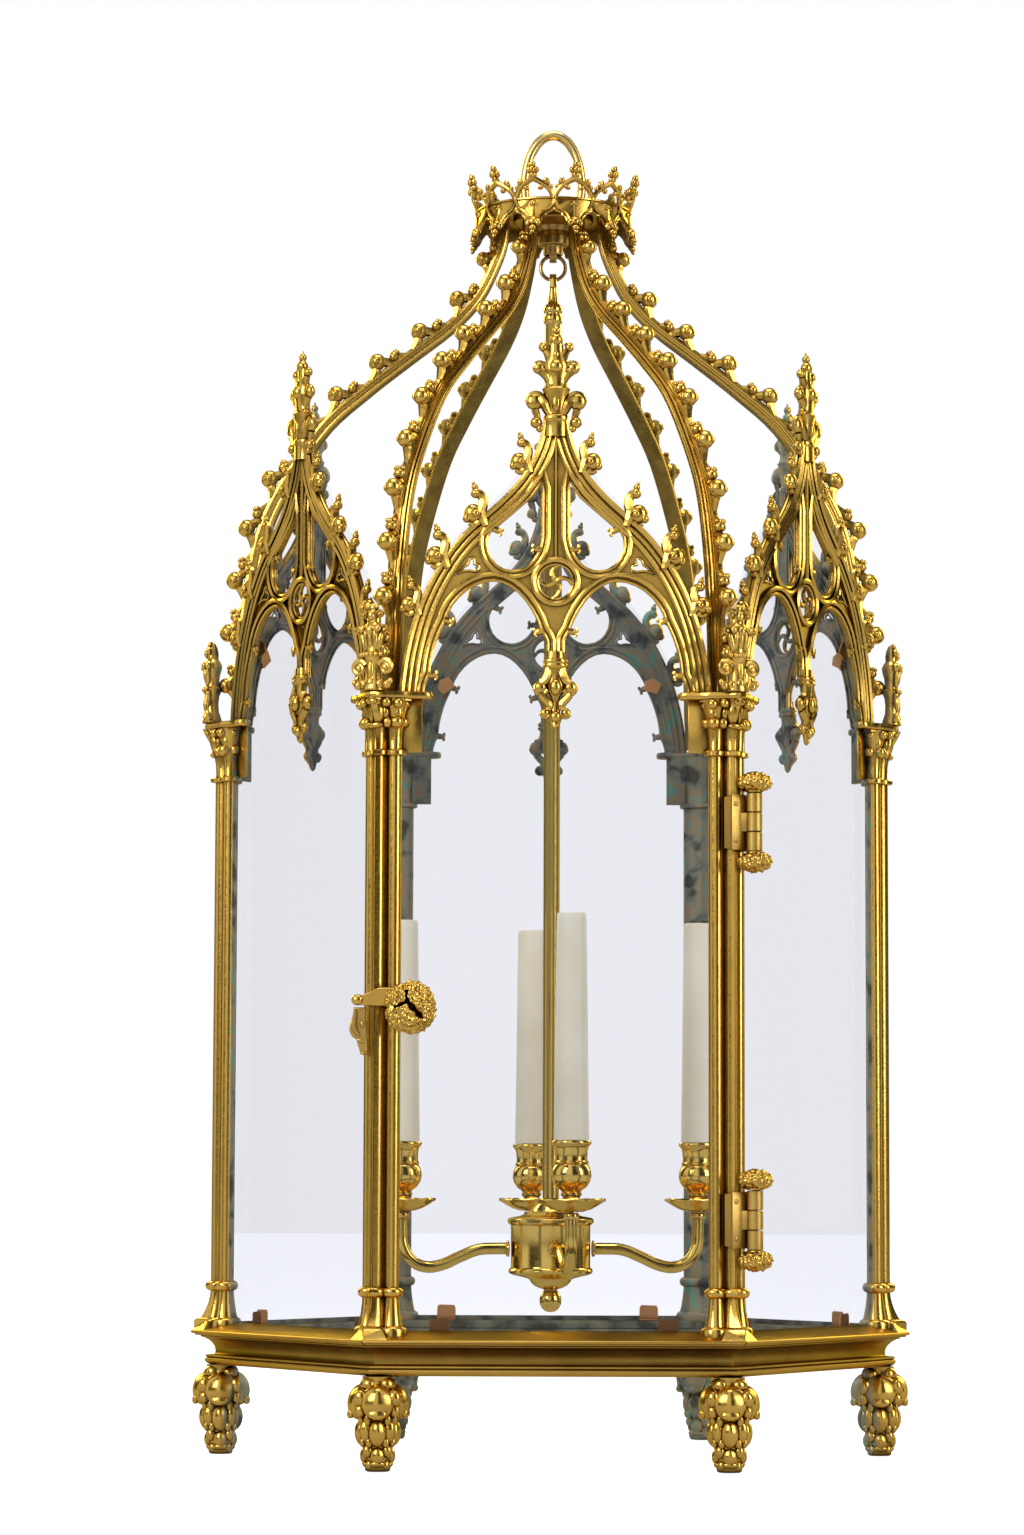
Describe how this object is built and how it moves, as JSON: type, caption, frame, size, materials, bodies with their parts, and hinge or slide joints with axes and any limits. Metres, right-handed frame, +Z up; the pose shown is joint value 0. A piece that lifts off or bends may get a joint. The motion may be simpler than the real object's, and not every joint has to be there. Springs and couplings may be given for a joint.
{
  "type": "hexagonal hanging lantern",
  "caption": "Hexagonal Gothic hanging lantern of gilt brass with glazed traceried sides, a hinged door, an open ribbed roof with a crown, and a candle light with arms inside.",
  "frame": {"origin": "on the floor, under the middle of the outline, a few millimetres in front of the lantern's axis", "axes": "+Z up; the door faces -Y; +X to the right of someone facing the door"},
  "size_m": [0.5428, 0.4846, 1.0147],
  "materials": {
    "gilt_brass": "polished cast brass with darker hollows",
    "pale_brass": "bright polished brass",
    "dark_brass": "aged brass",
    "glass": "clear flat glass",
    "ivory": "smooth ivory candle sleeve"
  },
  "bodies": {
    "lantern_frame": {"base_frame": "gilt_brass", "foot_front_right": "gilt_brass", "foot_right": "gilt_brass", "foot_back_right": "gilt_brass", "foot_back_left": "gilt_brass", "foot_left": "gilt_brass", "foot_front_left": "gilt_brass", "column_right": "gilt_brass", "column_back_right": "gilt_brass", "column_back_left": "gilt_brass", "column_left": "gilt_brass", "half_column_front_left": "gilt_brass", "half_column_front_right": "gilt_brass", "tracery_right_front": "gilt_brass", "tracery_right_back": "gilt_brass", "tracery_back": "gilt_brass", "tracery_left_back": "gilt_brass", "tracery_left_front": "gilt_brass", "glass_right_front": "glass", "glass_right_back": "glass", "glass_back": "glass", "glass_left_back": "glass", "glass_left_front": "glass", "rib_front_right": "gilt_brass", "rib_right": "gilt_brass", "rib_back_right": "gilt_brass", "rib_back_left": "gilt_brass", "rib_left": "gilt_brass", "rib_front_left": "gilt_brass", "crown": "gilt_brass", "crown_hub": "gilt_brass", "top_loop": "gilt_brass", "hinge_frame_leaf_lower": "pale_brass", "hinge_frame_leaf_upper": "pale_brass", "hinge_pin_lower": "gilt_brass", "hinge_pin_upper": "gilt_brass", "latch_catch": "gilt_brass"},
    "door": {"door_rail": "gilt_brass", "door_stile_left": "gilt_brass", "door_stile_right": "gilt_brass", "tracery_front": "gilt_brass", "glass_front": "glass", "hinge_door_leaf_lower": "pale_brass", "hinge_door_leaf_upper": "pale_brass"},
    "latch_knob": {"latch": "gilt_brass"},
    "ring": {"hanging_ring": "dark_brass"},
    "pendant_light": {"stem": "gilt_brass", "light_body": "pale_brass", "arm_1": "pale_brass", "arm_2": "pale_brass", "arm_3": "pale_brass", "arm_4": "pale_brass", "candle_holder_1": "pale_brass", "candle_holder_2": "pale_brass", "candle_holder_3": "pale_brass", "candle_holder_4": "pale_brass", "candle_sleeve_1": "ivory", "candle_sleeve_2": "ivory", "candle_sleeve_3": "ivory", "candle_sleeve_4": "ivory"}
  },
  "joints": [
    {"name": "door_hinge", "type": "hinge", "parent": "lantern_frame", "child": "door", "pos_m": [0.14179, -0.22167, 0.318], "axis": [0, 0, 1], "range_deg": [0, 100]},
    {"name": "latch_turn", "type": "hinge", "parent": "door", "child": "latch_knob", "pos_m": [-0.107, -0.20885, 0.331], "axis": [0, 1, 0], "range_deg": [0, 90]},
    {"name": "ring_swing", "type": "hinge", "parent": "lantern_frame", "child": "ring", "pos_m": [0, 0.00592, 0.9162], "axis": [1, 0, 0], "range_deg": [-4, 4]},
    {"name": "light_swing", "type": "hinge", "parent": "ring", "child": "pendant_light", "pos_m": [0, 0.00592, 0.9067], "axis": [0, 1, 0], "range_deg": [-4, 4]}
  ]
}
